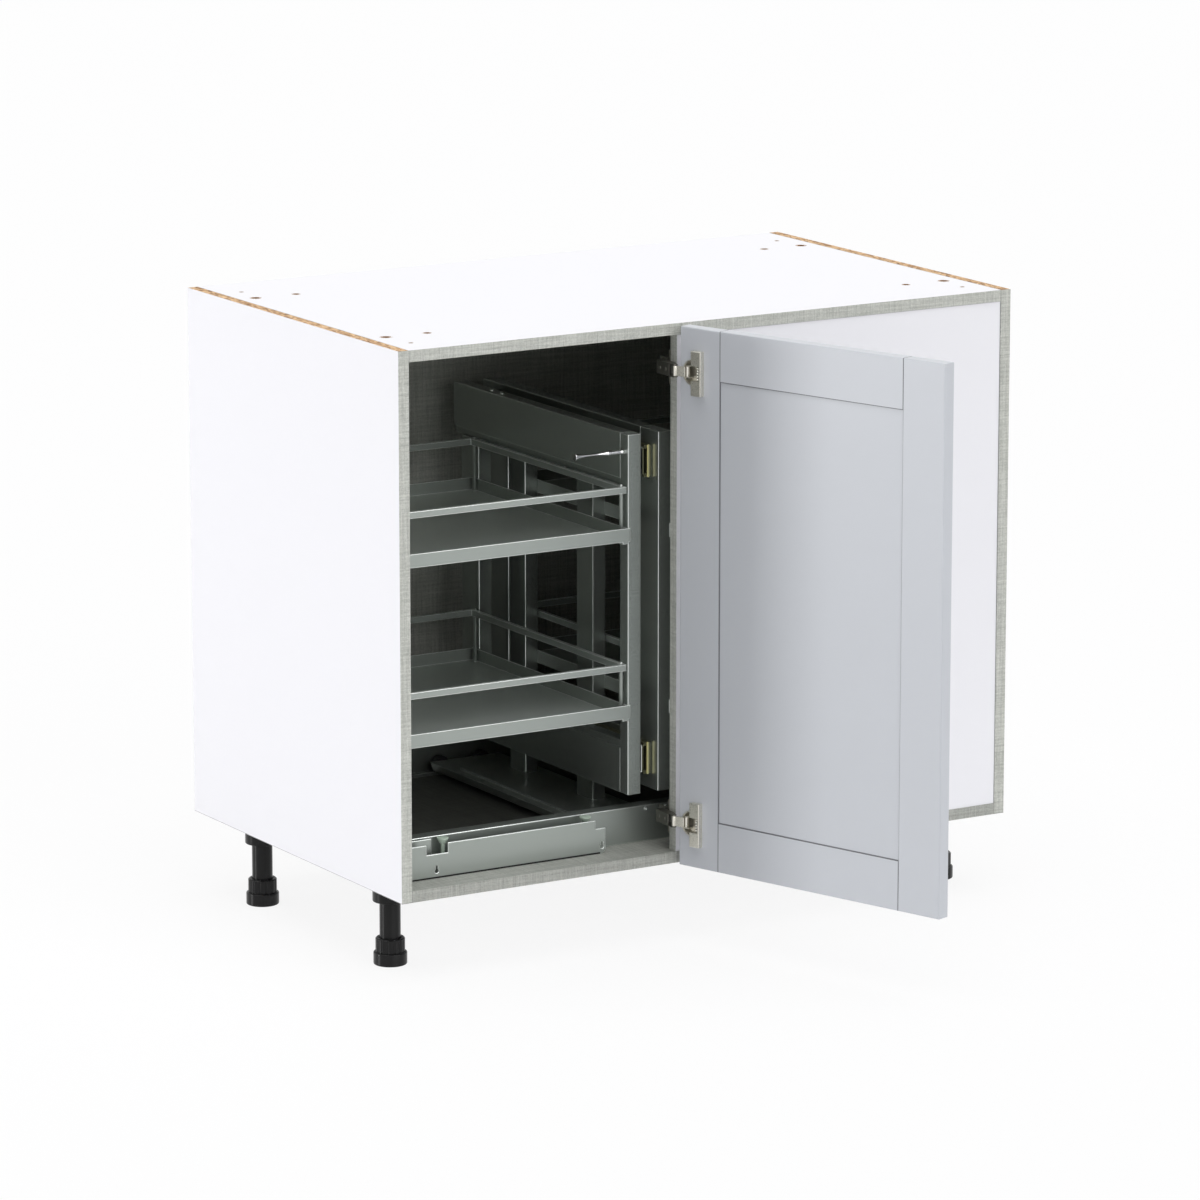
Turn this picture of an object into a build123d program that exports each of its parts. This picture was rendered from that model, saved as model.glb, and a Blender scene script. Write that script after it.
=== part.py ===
"""Blind corner base cabinet with a two-part corner pull-out.

A frameless base cabinet stands on four screw-in plinth legs. A fixed blind panel closes the right
half of its front, and a shaker door hangs on that panel's free edge with two concealed hinges.
Inside, a front frame with two baskets slides out of the opening on telescopic slides. The slides
are fixed to a rear frame, which stands on a wheeled carriage behind the opening and carries two
more baskets behind the blind panel.

While it is built, x runs right from the left side panel, y runs back from the front edges and z
runs up from the floor. The finished part is then moved so that its origin is on the floor, under
the middle of its box. Millimetres. The door is built closed and then swung open on its links.
"""

from build123d import *
import math
import os

# Carcass
cabinet_width = 990.6
cabinet_depth = 609.6
box_height = 762.0
leg_height = 114.3
board = 16.0
opening_width = 421.5
back_thickness = 5.0
back_setback = 16.0
groove_depth = 8.0
groove_play = 0.25
blind_recess = 1.5
dowel_diameter = 8.0
dowel_length = 30.0
dowel_in_side = 12.0
dowel_play = 0.1
dowel_end_inset = 52.0
blind_dowel_inset = 60.0

# Holes drilled in the top and bottom boards
leg_inset = 41.3
leg_front = 108.0
leg_rear_inset = 127.6
leg_hole_diameter = 10.0
fixing_hole_offset = 64.0
fixing_hole_diameter = 8.0
pilot_hole_inset = 48.0
pilot_hole_front = 50.8
pilot_hole_rear_inset = 72.0
pilot_hole_diameter = 5.0
drilled_depth = 12.0

# Legs
foot_diameter = 47.0
foot_height = 18.0
foot_edge = 2.0
collar_diameter = 41.0
collar_height = 20.0
collar_edge = 1.6
flute_count = 14
flute_radius = 2.4
flute_depth = 0.9
leg_tube_diameter = 29.4
leg_tube_entry = 4.0
collar_mouth_diameter = 31.4
stem_diameter = 20.0
stem_length = 50.0
turning_play = 0.05
socket_diameter = 46.0
socket_height = 13.0
spigot_length = 11.0
spigot_play = 0.1

# Door, measured while it is closed
door_overlay = 19.3
door_height = 759.0
door_thickness = 20.0
door_gap = 2.5
door_side_reveal = 1.5
door_edge_radius = 1.5
frame_member = 70.0
tenon_depth = 10.0
tenon_thickness = 6.0
tenon_play = 0.15
panel_thickness = 12.5
panel_back_recess = 1.5

# Concealed hinges
open_angle = 108.4
link_angle = 64.0
hinge_end_inset = 62.0
cup_centre = 22.8
cup_diameter = 35.0
cup_depth = 12.5
cup_wall = 0.8
cup_play = 0.1
cup_rim_width = 1.0
cup_rim_thickness = 1.0
housing_start = 24.5
housing_width = 17.0
housing_height = 62.0
housing_rise = 8.0
housing_edge = 0.8
housing_mouth_width = 14.6
housing_mouth_height = 21.0
cup_pin_setback = 11.0
cup_pin_depth = 3.0
cup_pin_radius = 1.25
arm_pin_setback = 9.9
arm_pin_out = 10.0
arm_pin_radius = 1.5
pin_play = 0.05
ear_thickness = 1.6
link_height = 14.0
link_thickness = 1.6
link_crank_along = 3.3
link_crank_out = 4.3
cup_knuckle = 2.5
arm_knuckle = 3.1
arm_height = 18.0
arm_width = 12.0
arm_reach = 32.0
arm_gauge = 1.5
arm_play = 0.4
nose_radius = 3.8
plate_gauge = 2.5
plate_length = 45.0
plate_height = 48.0
cheek_length = 26.5
cheek_height = 24.0

# Base fitting on the cabinet floor
rail_gauge = 2.0
front_rail_y = 45.0
front_rail_end = 350.0
front_rail_height = 48.0
front_rail_corner = 8.0
notch_start = 64.0
notch_width = 34.0
notch_depth = 14.0
step_width = 16.0
step_depth = 12.0
keyhole_left = 80.0
keyhole_right_inset = 6.0
keyhole_height = 10.0
keyhole_head = 3.0
keyhole_neck = 1.5
keyhole_neck_length = 6.0
track_y = 73.0
track_end = 860.0
track_height = 52.0
track_depth = 22.0
track_lip = 6.0
rear_track_gap = 8.0
tab_y = 61.5
tab_end = 81.0
bumper_radius = 8.0
bumper_neck = 4.5
bumper_rim = 1.5
bumper_head = 8.0
bumper_stem = 3.0
bumper_rise = 4.0
bumper_x = 98.0

# Carriage
carriage_left_reach = 79.0
carriage_right_reach = 17.0
carriage_lean = 6.0
carriage_height = 22.0
carriage_skirt = 13.0
carriage_gauge = 2.0
foot_plate_inset = 15.0
foot_plate_back = 494.0
foot_plate_thickness = 3.0
roller_diameter = 24.0
roller_width = 12.0
roller_bore = 6.0
roller_play = 0.05
roller_gap = 0.3
roller_groove = 1.5
axle_head = 0.6
roller_inset = 24.0
track_clearance = 2.0

# Both frames
frame_side_gap = 0.5
frame_front = 50.0
frame_back_gap = 54.6
frame_bottom = 92.0
frame_top = 603.0
post_width = 21.0
tube_wall = 1.5
beam_height = 74.0
beam_step = 10.0
beam_step_inset = 3.0
slide_carrier_width = 15.3
slide_carrier_height = 40.0
front_post_depth = 21.0
rear_post_depth = 49.0
rear_post_inset = 22.0
rear_frame_post_depth = 48.0
leg_post_depth = 44.0
front_leg_y = 226.5
rear_leg_inset = 75.0

# Telescopic slides
slide_height = 45.0
slide_thickness = 12.7
slide_gauge = 1.4
slide_play = 0.35
slide_middle_offset = 5.0
slide_front = 70.0
slide_back_inset = 4.0
slide_edge_inset = 44.0
slide_corner = 2.0

# Baskets
basket_side_gap = 10.0
basket_back_inset = 55.5
tray_lip = 19.0
tray_wall = 1.5
tray_corner = 3.0
lower_tray_level = 202.0
upper_tray_drop = 150.0
gallery_top = 77.0
gallery_height = 9.0
gallery_width = 6.0
gallery_play = 0.2
gallery_corner = 1.0
gallery_rod = 6.0
gallery_rod_inset = 12.0
cap_rise = 2.0
hook_width = 9.0
hook_depth = 10.0
hook_drop = 3.0
post_lap = 3.0

# Pull handle on the front post
handle_length = 80.0
handle_drop = 25.0
handle_boss = 3.6
handle_grip = 3.2
handle_grip_end = 26.0
handle_waist = 1.5
handle_waist_at = 57.0
handle_flare = 5.4
handle_end = 1.5

# Places worked out from the sizes above
inner_right = cabinet_width - board
blind_left = board + opening_width
box_bottom = leg_height
box_top = leg_height + box_height
floor_z = box_bottom + board
ceiling_z = box_top - board
leg_rear = cabinet_depth - leg_rear_inset
pilot_rear = cabinet_depth - pilot_hole_rear_inset
back_y = cabinet_depth - back_setback - back_thickness
leg_places = {
    "front_left": (leg_inset, leg_front),
    "front_right": (cabinet_width - leg_inset, leg_front),
    "rear_left": (leg_inset, leg_rear),
    "rear_right": (cabinet_width - leg_inset, leg_rear),
}
door_hinge_edge = blind_left + door_overlay
door_width = door_hinge_edge - door_side_reveal
door_bottom = box_bottom + (box_height - door_height) / 2
door_top = door_bottom + door_height
hinge_levels = {"lower": door_bottom + hinge_end_inset, "upper": door_top - hinge_end_inset}
cup_pin = Vector(door_hinge_edge - cup_pin_setback, -door_gap - cup_pin_depth)
arm_pin = Vector(blind_left - arm_pin_setback, -arm_pin_out)
open_cup_pin = arm_pin + (cup_pin - arm_pin).rotate(Axis.Z, -link_angle)
rear_track_y = back_y - rear_track_gap - track_depth
frame_back = back_y - frame_back_gap
rear_frame_left = blind_left + frame_side_gap
rear_frame_right = rear_frame_left + post_width
slide_left = rear_frame_left - slide_thickness
front_frame_left = slide_left - slide_carrier_width - post_width
rear_post_y = frame_back - rear_post_inset - rear_post_depth
leg_post_ys = (front_leg_y, frame_back - rear_leg_inset - leg_post_depth)
frame_z = leg_height + frame_bottom
frame_end_z = leg_height + frame_top
lower_beam_top = frame_z + beam_height
upper_beam_bottom = frame_end_z - beam_height
slide_levels = {"lower": frame_z + slide_edge_inset, "upper": frame_end_z - slide_edge_inset}
slide_back = frame_back - slide_back_inset
basket_left = board + basket_side_gap
basket_width = front_frame_left - basket_left
basket_front = frame_front - tray_wall
basket_back = frame_back - basket_back_inset
tray_zs = {"lower": leg_height + lower_tray_level, "upper": frame_end_z - upper_tray_drop}
carriage_left = rear_frame_left - carriage_left_reach
carriage_right = rear_frame_right + carriage_right_reach
carriage_top = floor_z + carriage_height
foot_plate_top = carriage_top + foot_plate_thickness
axle_z = floor_z + rail_gauge + roller_gap + roller_diameter / 2
roller_xs = {
    "left": carriage_left + roller_inset,
    "right": carriage_right - roller_inset,
}


def block(x0, x1, y0, y1, z0, z1):
    """A box between two corners."""
    low = (Align.MIN, Align.MIN, Align.MIN)
    return Pos(x0, y0, z0) * Box(x1 - x0, y1 - y0, z1 - z0, align=low)


def rod_z(x, y, z0, z1, radius):
    """An upright cylinder."""
    return Pos(x, y, (z0 + z1) / 2) * Cylinder(radius, z1 - z0)


def rod_x(x0, x1, y, z, radius):
    """A cylinder along x."""
    return Pos((x0 + x1) / 2, y, z) * Rot(0, 90, 0) * Cylinder(radius, x1 - x0)


def rod_y(x, y0, y1, z, radius):
    """A cylinder along y."""
    return Pos(x, (y0 + y1) / 2, z) * Rot(90, 0, 0) * Cylinder(radius, y1 - y0)


def along_y(section, y0, y1):
    """A section drawn in x and z, drawn out from y0 back to y1."""
    return Pos(0, y1, 0) * extrude(Plane.XZ * section, amount=y1 - y0)


def along_x(section, x0, x1):
    """A section drawn in y and z, drawn out from x0 to x1."""
    return Pos(x0, 0, 0) * extrude(Plane.YZ * section, amount=x1 - x0)


def outline(*points):
    """A flat face inside a closed line of points."""
    return make_face(Polyline(*points, close=True))


def upright_tube(x0, x1, y0, y1, z0, z1):
    """A rectangular steel tube that stands up, open at its ends."""
    inside = block(x0 + tube_wall, x1 - tube_wall, y0 + tube_wall, y1 - tube_wall, z0, z1)
    return block(x0, x1, y0, y1, z0, z1) - inside


# Carcass pieces


def back_groove(x0, x1, z0, z1):
    """The space cut for the edge of the back panel."""
    return block(x0, x1, back_y - groove_play, back_y + back_thickness + groove_play, z0, z1)


def dowel_places():
    """Where each dowel joins a top or bottom board to a side panel."""
    ys = (dowel_end_inset, cabinet_depth / 2, cabinet_depth - dowel_end_inset)
    zs = (box_bottom + board / 2, box_top - board / 2)
    return [(y, z) for y in ys for z in zs]


def dowel_ends(side):
    """The two ends along x of a dowel at the left or right side panel."""
    if side == "left":
        return board - dowel_in_side, board - dowel_in_side + dowel_length
    return inner_right + dowel_in_side - dowel_length, inner_right + dowel_in_side


def dowels(radius, reach):
    """Every dowel, or with a larger radius and reach the holes that take them."""
    found = []
    for side in ("left", "right"):
        x0, x1 = dowel_ends(side)
        found += [rod_x(x0 - reach, x1 + reach, y, z, radius) for y, z in dowel_places()]
    blind_y = blind_recess + board / 2
    for x in (blind_left + blind_dowel_inset, inner_right - blind_dowel_inset):
        for z0 in (floor_z - dowel_in_side, ceiling_z + dowel_in_side - dowel_length):
            found.append(rod_z(x, blind_y, z0 - reach, z0 + dowel_length + reach, radius))
    return found


def dowel_holes():
    return dowels(dowel_diameter / 2 + dowel_play, dowel_play)


def side_panel(side):
    x0 = 0 if side == "left" else inner_right
    groove = board - groove_depth if side == "left" else inner_right
    panel = block(x0, x0 + board, 0, cabinet_depth, box_bottom, box_top)
    panel -= back_groove(groove, groove + groove_depth, box_bottom, box_top)
    return panel - dowel_holes()


def drilled_places():
    """Each hole drilled in the top and bottom boards: x, y and radius."""
    rows = [
        (leg_inset, leg_front, leg_rear, leg_hole_diameter),
        (leg_inset + fixing_hole_offset, leg_front, leg_rear, fixing_hole_diameter),
        (pilot_hole_inset, pilot_hole_front, pilot_rear, pilot_hole_diameter),
    ]
    holes = []
    for x, front, rear, diameter in rows:
        for place_x in (x, cabinet_width - x):
            holes += [(place_x, y, diameter / 2) for y in (front, rear)]
    return holes


def flat_board(z, groove_z, drill_z):
    """The top or bottom board, between the side panels."""
    panel = block(board, inner_right, 0, cabinet_depth, z, z + board)
    panel -= back_groove(board, inner_right, groove_z, groove_z + groove_depth)
    panel -= [rod_z(x, y, drill_z, drill_z + drilled_depth, r) for x, y, r in drilled_places()]
    return panel - dowel_holes()


def back_panel():
    edge = groove_depth - groove_play
    x0, x1 = board - edge, inner_right + edge
    return block(x0, x1, back_y, back_y + back_thickness, floor_z - edge, ceiling_z + edge)


def blind_panel():
    panel = block(blind_left, inner_right, blind_recess, blind_recess + board, floor_z, ceiling_z)
    return panel - dowel_holes()


# Legs


def leg_socket(x, y):
    """The fixed upper part of a leg: its spigot, flange and threaded tube."""
    tube_bottom = foot_height + collar_height - leg_tube_entry + spigot_play
    flange = rod_z(x, y, box_bottom - socket_height, box_bottom, socket_diameter / 2)
    flange = fillet(flange.edges().filter_by(GeomType.CIRCLE).sort_by(Axis.Z)[0], foot_edge)
    spigot_radius = leg_hole_diameter / 2 - spigot_play
    socket = flange + rod_z(x, y, box_bottom, box_bottom + spigot_length, spigot_radius)
    socket += rod_z(x, y, tube_bottom, box_bottom - foot_edge, leg_tube_diameter / 2)
    bore_top = box_bottom - foot_edge - socket_height / 2
    return socket - rod_z(x, y, tube_bottom, bore_top, stem_diameter / 2 + turning_play)


def leg_foot(x, y):
    """The part of a leg that screws in: its base disc, fluted collar and stem."""
    collar_top = foot_height + collar_height
    stem_base = collar_top - leg_tube_entry - spigot_play
    foot = rod_z(x, y, 0, foot_height, foot_diameter / 2)
    foot = fillet(foot.edges().filter_by(GeomType.CIRCLE), foot_edge)
    collar = rod_z(x, y, foot_height, collar_top, collar_diameter / 2)
    collar = chamfer(collar.edges().filter_by(GeomType.CIRCLE).sort_by(Axis.Z)[-1], collar_edge)
    flute_ring = collar_diameter / 2 + flute_radius - flute_depth
    ring = PolarLocations(flute_ring, flute_count)
    flutes = [Pos(x, y, 0) * place * rod_z(0, 0, foot_height, collar_top, flute_radius) for place in ring]
    collar -= flutes
    collar -= rod_z(x, y, stem_base, collar_top, collar_mouth_diameter / 2)
    return foot + collar + rod_z(x, y, stem_base, stem_base + stem_length, stem_diameter / 2)


# Door pieces, built closed


def door_x(setback):
    """The x of a point of the closed door that lies this far in from its hinge edge."""
    return door_hinge_edge - setback


def door_y(depth):
    """The y of a point this deep in the closed door, from its back face."""
    return -door_gap - depth


def door_block(near, far, back, front, z0, z1):
    return block(door_x(far), door_x(near), door_y(front), door_y(back), z0, z1)


def tongue_depths(play):
    """Where the tongue, or with a play its groove, starts and ends in the door's thickness."""
    middle = door_thickness / 2
    return middle - tenon_thickness / 2 - play, middle + tenon_thickness / 2 + play


def cup_recess(level):
    depth = cup_depth + cup_play
    radius = cup_diameter / 2 + cup_play
    return rod_y(door_x(cup_centre), door_y(depth), door_y(0), level, radius)


def door_stile(side):
    near = 0 if side == "hinge" else door_width - frame_member
    stile = door_block(near, near + frame_member, 0, door_thickness, door_bottom, door_top)
    outer = stile.edges().filter_by(Axis.Z).sort_by(Axis.X)
    outer = outer[2:] if side == "hinge" else outer[:2]
    ends = stile.edges().filter_by(Axis.X)
    stile = fillet(outer + ends, door_edge_radius)
    back, front = tongue_depths(tenon_play)
    groove = frame_member - tenon_depth if side == "hinge" else near
    stile -= door_block(groove, groove + tenon_depth, back, front, door_bottom, door_top)
    if side == "hinge":
        stile -= [cup_recess(level) for level in hinge_levels.values()]
    return stile


def door_rail(end):
    z0 = door_bottom if end == "bottom" else door_top - frame_member
    near, far = frame_member, door_width - frame_member
    rail = door_block(near, far, 0, door_thickness, z0, z0 + frame_member)
    edges = rail.edges().filter_by(Axis.X).sort_by(Axis.Z)
    rail = fillet(edges[:2] if end == "bottom" else edges[2:], door_edge_radius)
    back, front = tongue_depths(tenon_play)
    groove = z0 + frame_member - tenon_depth if end == "bottom" else z0
    rail -= door_block(near, far, back, front, groove, groove + tenon_depth)
    back, front = tongue_depths(0)
    reach = tenon_depth - tenon_play
    tenon_z = z0 if end == "bottom" else z0 + tenon_depth
    tenon_height = frame_member - tenon_depth
    for start, stop in ((near - reach, near), (far, far + reach)):
        rail += door_block(start, stop, back, front, tenon_z, tenon_z + tenon_height)
    return rail


def door_panel():
    near, far = frame_member, door_width - frame_member
    z0, z1 = door_bottom + frame_member, door_top - frame_member
    field = door_block(near, far, panel_back_recess, panel_back_recess + panel_thickness, z0, z1)
    back, front = tongue_depths(0)
    reach = tenon_depth - tenon_play
    return field + door_block(near - reach, far + reach, back, front, z0 - reach, z1 + reach)


# Hinge pieces


def cup_housing(level):
    """The raised housing across the cup, with a mouth on its hinge side for the link and arm."""
    near, far = door_x(housing_start), door_x(housing_start + housing_width)
    face, half = door_y(0), housing_height / 2
    housing = block(far, near, face, face + housing_rise, level - half, level + half)
    housing = fillet(housing.faces().sort_by(Axis.Y)[-1].edges(), housing_edge)
    mouth_far, half = door_x(housing_start + housing_mouth_width), housing_mouth_height / 2
    return housing - block(mouth_far, near, face, face + housing_rise, level - half, level + half)


def hinge_cup(level):
    """The pressed cup with its rim, raised housing, two ears and the pin that the link turns on."""
    x, face = door_x(cup_centre), door_y(0)
    radius = cup_diameter / 2
    rim_front = face + cup_rim_thickness
    cup = rod_y(x, door_y(cup_depth), face, level, radius)
    cup += rod_y(x, face, rim_front, level, radius + cup_rim_width)
    hollow_depth = cup_depth - cup_wall
    cup -= rod_y(x, door_y(hollow_depth), rim_front, level, radius - cup_wall)
    cup += cup_housing(level)
    pin_x = door_x(cup_pin_setback)
    for way in (-1, 1):
        inner = level + way * (link_height / 2 + arm_play)
        outer = inner + way * ear_thickness
        low, high = sorted((inner, outer))
        ear = block(pin_x - 2 * cup_knuckle, door_x(cup_centre - radius + cup_wall / 2),
                    door_y(hollow_depth), door_y(cup_wall), low, high)
        cup += ear & rod_y(x, door_y(hollow_depth), face, level, radius - cup_wall / 2)
    reach = link_height / 2 + arm_play + ear_thickness
    return cup + rod_z(cup_pin.X, cup_pin.Y, level - reach, level + reach, cup_pin_radius)


def flat_bar(start, end, width):
    """A flat strip between two points of the plan, for drawing a bent piece."""
    middle, line = (start + end) / 2, end - start
    angle = math.degrees(math.atan2(line.Y, line.X))
    return Pos(middle.X, middle.Y) * Rot(0, 0, angle) * Rectangle(line.length, width)


def hinge_link(level):
    """The cranked link, with an eye on each pin, as it lies in the closed cup."""
    way = (arm_pin - cup_pin).normalized()
    out = Vector(-way.Y, way.X)
    crank = cup_pin + way * link_crank_along + out * link_crank_out
    shape = flat_bar(cup_pin, crank, link_thickness) + flat_bar(crank, arm_pin, link_thickness)
    shape += Pos(crank.X, crank.Y) * Circle(link_thickness / 2)
    shape += Pos(cup_pin.X, cup_pin.Y) * Circle(cup_knuckle)
    shape += Pos(arm_pin.X, arm_pin.Y) * Circle(arm_knuckle)
    shape -= Pos(cup_pin.X, cup_pin.Y) * Circle(cup_pin_radius + pin_play)
    shape -= Pos(arm_pin.X, arm_pin.Y) * Circle(arm_pin_radius + pin_play)
    return Pos(0, 0, level - link_height / 2) * extrude(shape, link_height)


def hinge_arm(level):
    """The channel-shaped arm beside the blind panel's edge, with the pin at its nose."""
    x0 = arm_pin.X - nose_radius
    x1 = x0 + arm_width
    cheek = outline((x0, arm_pin.Y), (x0, arm_reach), (x1, arm_reach), (x1, nose_radius),
                    (arm_pin.X + nose_radius, arm_pin.Y))
    cheek += Pos(arm_pin.X, arm_pin.Y) * Circle(nose_radius)
    half = arm_height / 2
    arm = [Pos(0, 0, z) * extrude(cheek, arm_gauge) for z in (level - half, level + half - arm_gauge)]
    web = block(x0, x0 + arm_gauge, 0, arm_reach, level - half, level + half)
    return web + arm + rod_z(arm_pin.X, arm_pin.Y, level - half, level + half, arm_pin_radius)


def hinge_plate(level):
    """The angle plate behind the blind panel that carries an arm."""
    x0 = arm_pin.X - nose_radius + arm_width + groove_play
    back = blind_recess + board
    half = plate_height / 2
    plate = block(x0, x0 + plate_length, back, back + plate_gauge, level - half, level + half)
    half = cheek_height / 2
    return plate + block(x0, x0 + plate_gauge, back, back + cheek_length, level - half, level + half)


def swung_link(piece):
    """A link piece carried from the closed to the open door."""
    return Pos(arm_pin.X, arm_pin.Y) * Rot(0, 0, -link_angle) * Pos(-arm_pin.X, -arm_pin.Y) * piece


def swung_door(piece):
    """A door piece carried from the closed to the open door."""
    turn = Pos(open_cup_pin.X, open_cup_pin.Y) * Rot(0, 0, open_angle)
    return turn * Pos(-cup_pin.X, -cup_pin.Y) * piece


# Base fitting


def keyhole(x, z):
    """A keyhole for a screw head, seen from the front."""
    return Pos(x, z) * (Circle(keyhole_head) + Pos(0, keyhole_neck_length / 2)
                        * Rectangle(2 * keyhole_neck, keyhole_neck_length)
                        + Pos(0, keyhole_neck_length) * Circle(keyhole_neck))


def base_front_rail():
    """The folded front rail with its notch, stepped end and keyholes, and the tab behind it."""
    top = floor_z + front_rail_height
    face = Pos((board + front_rail_end) / 2, (floor_z + top) / 2) * Rectangle(
        front_rail_end - board, front_rail_height)
    corner = face.vertices().group_by(Axis.X)[-1].sort_by(Axis.Y)[0]
    face = fillet(corner, front_rail_corner)
    face -= Pos(notch_start + notch_width / 2, top - notch_depth / 2) * Rectangle(
        notch_width, notch_depth)
    face -= Pos(front_rail_end - step_width / 2, top - step_depth / 2) * Rectangle(
        step_width, step_depth)
    face -= keyhole(keyhole_left, floor_z + keyhole_height)
    face -= keyhole(front_rail_end - keyhole_right_inset, floor_z + keyhole_height)
    rail = along_y(face, front_rail_y, front_rail_y + rail_gauge)
    shelf_end = front_rail_end - front_rail_corner
    rail += block(board, shelf_end, front_rail_y, track_y, floor_z, floor_z + rail_gauge)
    return rail + block(board, tab_end, tab_y, tab_y + rail_gauge, floor_z, floor_z + track_height)


def base_bumpers():
    """Two rubber stops that flare upward, on stems between the front rail and the track."""
    y = (front_rail_y + rail_gauge + track_y) / 2
    base, top = floor_z + rail_gauge, floor_z + front_rail_height + bumper_rise
    neck = top - bumper_head
    profile = outline((0, base), (bumper_stem, base), (bumper_stem, neck), (bumper_neck, neck),
                      (bumper_radius, top - bumper_rim), (bumper_radius, top), (0, top))
    stop = revolve(Plane.XZ * profile, Axis.Z)
    return [Pos(x, y, 0) * stop for x in (bumper_x, front_rail_end - step_width - bumper_radius)]


def track(y, way):
    """A lipped channel along x. The open side faces back for way 1 and forward for way -1."""
    far = y + way * track_depth
    z0, z1 = floor_z, floor_z + track_height
    inner, lip = rail_gauge, track_lip
    return along_x(outline(
        (y, z0), (far, z0), (far, z0 + lip), (far - way * inner, z0 + lip),
        (far - way * inner, z0 + inner), (y + way * inner, z0 + inner),
        (y + way * inner, z1 - inner), (far - way * inner, z1 - inner),
        (far - way * inner, z1 - lip), (far, z1 - lip), (far, z1), (y, z1)), board, track_end)


# Carriage


def carriage_ends():
    """The y of the carriage's front and rear faces, between the two tracks."""
    return track_y + track_depth + track_clearance, rear_track_y - track_clearance


def carriage_base():
    """The folded carriage with its flared left skirt, the foot plate and the four axles."""
    y0, y1 = carriage_ends()
    g = carriage_gauge
    foot = carriage_top - carriage_skirt
    lean = carriage_left + carriage_lean
    base = along_y(outline(
        (lean, foot), (carriage_left, carriage_top), (carriage_right, carriage_top),
        (carriage_right, foot), (carriage_right - g, foot), (carriage_right - g, carriage_top - g),
        (carriage_left + 1.5 * g, carriage_top - g), (lean + g, foot)), y0, y1)
    base += block(carriage_left + foot_plate_inset, carriage_right, y0, foot_plate_back,
                  carriage_top, foot_plate_top)
    under, middle = axle_z - roller_bore, g / 2
    end_plate = outline(
        (lean + middle, under), (carriage_left + g, carriage_top - middle),
        (carriage_right - middle, carriage_top - middle), (carriage_right - middle, under))
    for y in (y0, y1 - g):
        base += along_y(end_plate, y, y + g)
    for x in roller_xs.values():
        for start, end in roller_axle_spans():
            base += rod_y(x, start, end, axle_z, roller_bore / 2)
    return base


def roller_axle_spans():
    """Where the front and rear axles start and end along y."""
    y0, y1 = carriage_ends()
    reach = (track_depth + roller_width) / 2 + axle_head
    front_end = track_y + track_depth - reach
    rear_end = rear_track_y + reach
    return (front_end, y0), (y1, rear_end)


def roller(x, end):
    """A grooved nylon roller on its axle."""
    centre = track_y + track_depth / 2 if end == "front" else rear_track_y + track_depth / 2
    half = roller_width / 2
    radius = roller_diameter / 2
    wheel = rod_y(x, centre - half, centre + half, axle_z, radius)
    wheel = chamfer(wheel.edges().filter_by(GeomType.CIRCLE), roller_groove / 2)
    hub = radius - 2 * roller_groove
    for face, way in ((centre - half, 1), (centre + half, -1)):
        low, high = sorted((face, face + way * roller_groove))
        ring = rod_y(x, low, high, axle_z, hub) - rod_y(x, low, high, axle_z, roller_bore)
        wheel -= ring
    return wheel - rod_y(x, centre - half, centre + half, axle_z, roller_bore / 2 + roller_play)


# Frames


def beam(x0, x1, z0, y0, y1, stepped):
    """A closed steel beam along y. A stepped beam has its inner lower or upper edge set in."""
    z1 = z0 + beam_height
    if not stepped:
        shape = outline((x0, z0), (x1, z0), (x1, z1), (x0, z1))
    elif stepped == "low":
        shape = outline((x0 + beam_step_inset, z0), (x1, z0), (x1, z1), (x0, z1),
                        (x0, z0 + beam_step), (x0 + beam_step_inset, z0 + beam_step))
    else:
        shape = outline((x0, z0), (x1, z0), (x1, z1), (x0 + beam_step_inset, z1),
                        (x0 + beam_step_inset, z1 - beam_step), (x0, z1 - beam_step))
    return along_y(shape - offset(shape, -tube_wall, kind=Kind.INTERSECTION), y0, y1)


def front_frame_post(y, depth, z0, z1):
    return upright_tube(front_frame_left, front_frame_left + post_width, y, y + depth, z0, z1)


def rear_frame_post(y, depth, z0, z1):
    return upright_tube(rear_frame_left, rear_frame_right, y, y + depth, z0, z1)


def front_frame_beam(z0, stepped, slide_level):
    """A beam of the front frame, with the closed carrier on its inner side that holds a slide."""
    inner = front_frame_left + post_width
    start = frame_front + front_post_depth
    half = slide_carrier_height / 2
    carrier = block(inner, slide_left, start, frame_back, slide_level - half, slide_level + half)
    carrier -= block(inner + tube_wall, slide_left - tube_wall, start, frame_back,
                     slide_level - half + tube_wall, slide_level + half - tube_wall)
    return beam(front_frame_left, inner, z0, start, frame_back, stepped) + carrier


def rear_frame_beam(z0):
    start = frame_front + rear_frame_post_depth
    return beam(rear_frame_left, rear_frame_right, z0, start, frame_back, None)


# Slides


def slide_member(level, x, way, half, reach):
    """One rolled channel of a slide: its web's outer face at x, its flanges towards way."""
    g = slide_gauge
    shape = outline(
        (x, level - half), (x + way * reach, level - half), (x + way * reach, level - half + g),
        (x + way * g, level - half + g), (x + way * g, level + half - g),
        (x + way * reach, level + half - g), (x + way * reach, level + half), (x, level + half))
    web_side = shape.vertices().group_by(Axis.X)[-1 if way < 0 else 0]
    return along_y(fillet(web_side, slide_corner), slide_front, slide_back)


def slide_outer(level):
    """The member on the rear frame. Its flanges stop short of the inner member's web."""
    reach = slide_thickness - slide_gauge - slide_play
    return slide_member(level, rear_frame_left, -1, slide_height / 2, reach)


def slide_middle(level):
    """The member between, which runs inside the outer one."""
    half = slide_height / 2 - slide_gauge - slide_play
    reach = slide_thickness - slide_middle_offset - slide_gauge - slide_play
    return slide_member(level, rear_frame_left - slide_middle_offset, -1, half, reach)


def slide_inner(level):
    """The member on the front frame, which runs inside the middle one."""
    half = slide_height / 2 - 2 * (slide_gauge + slide_play)
    reach = slide_thickness - slide_middle_offset - slide_gauge - slide_play
    return slide_member(level, slide_left, 1, half, reach)


# Baskets


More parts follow.
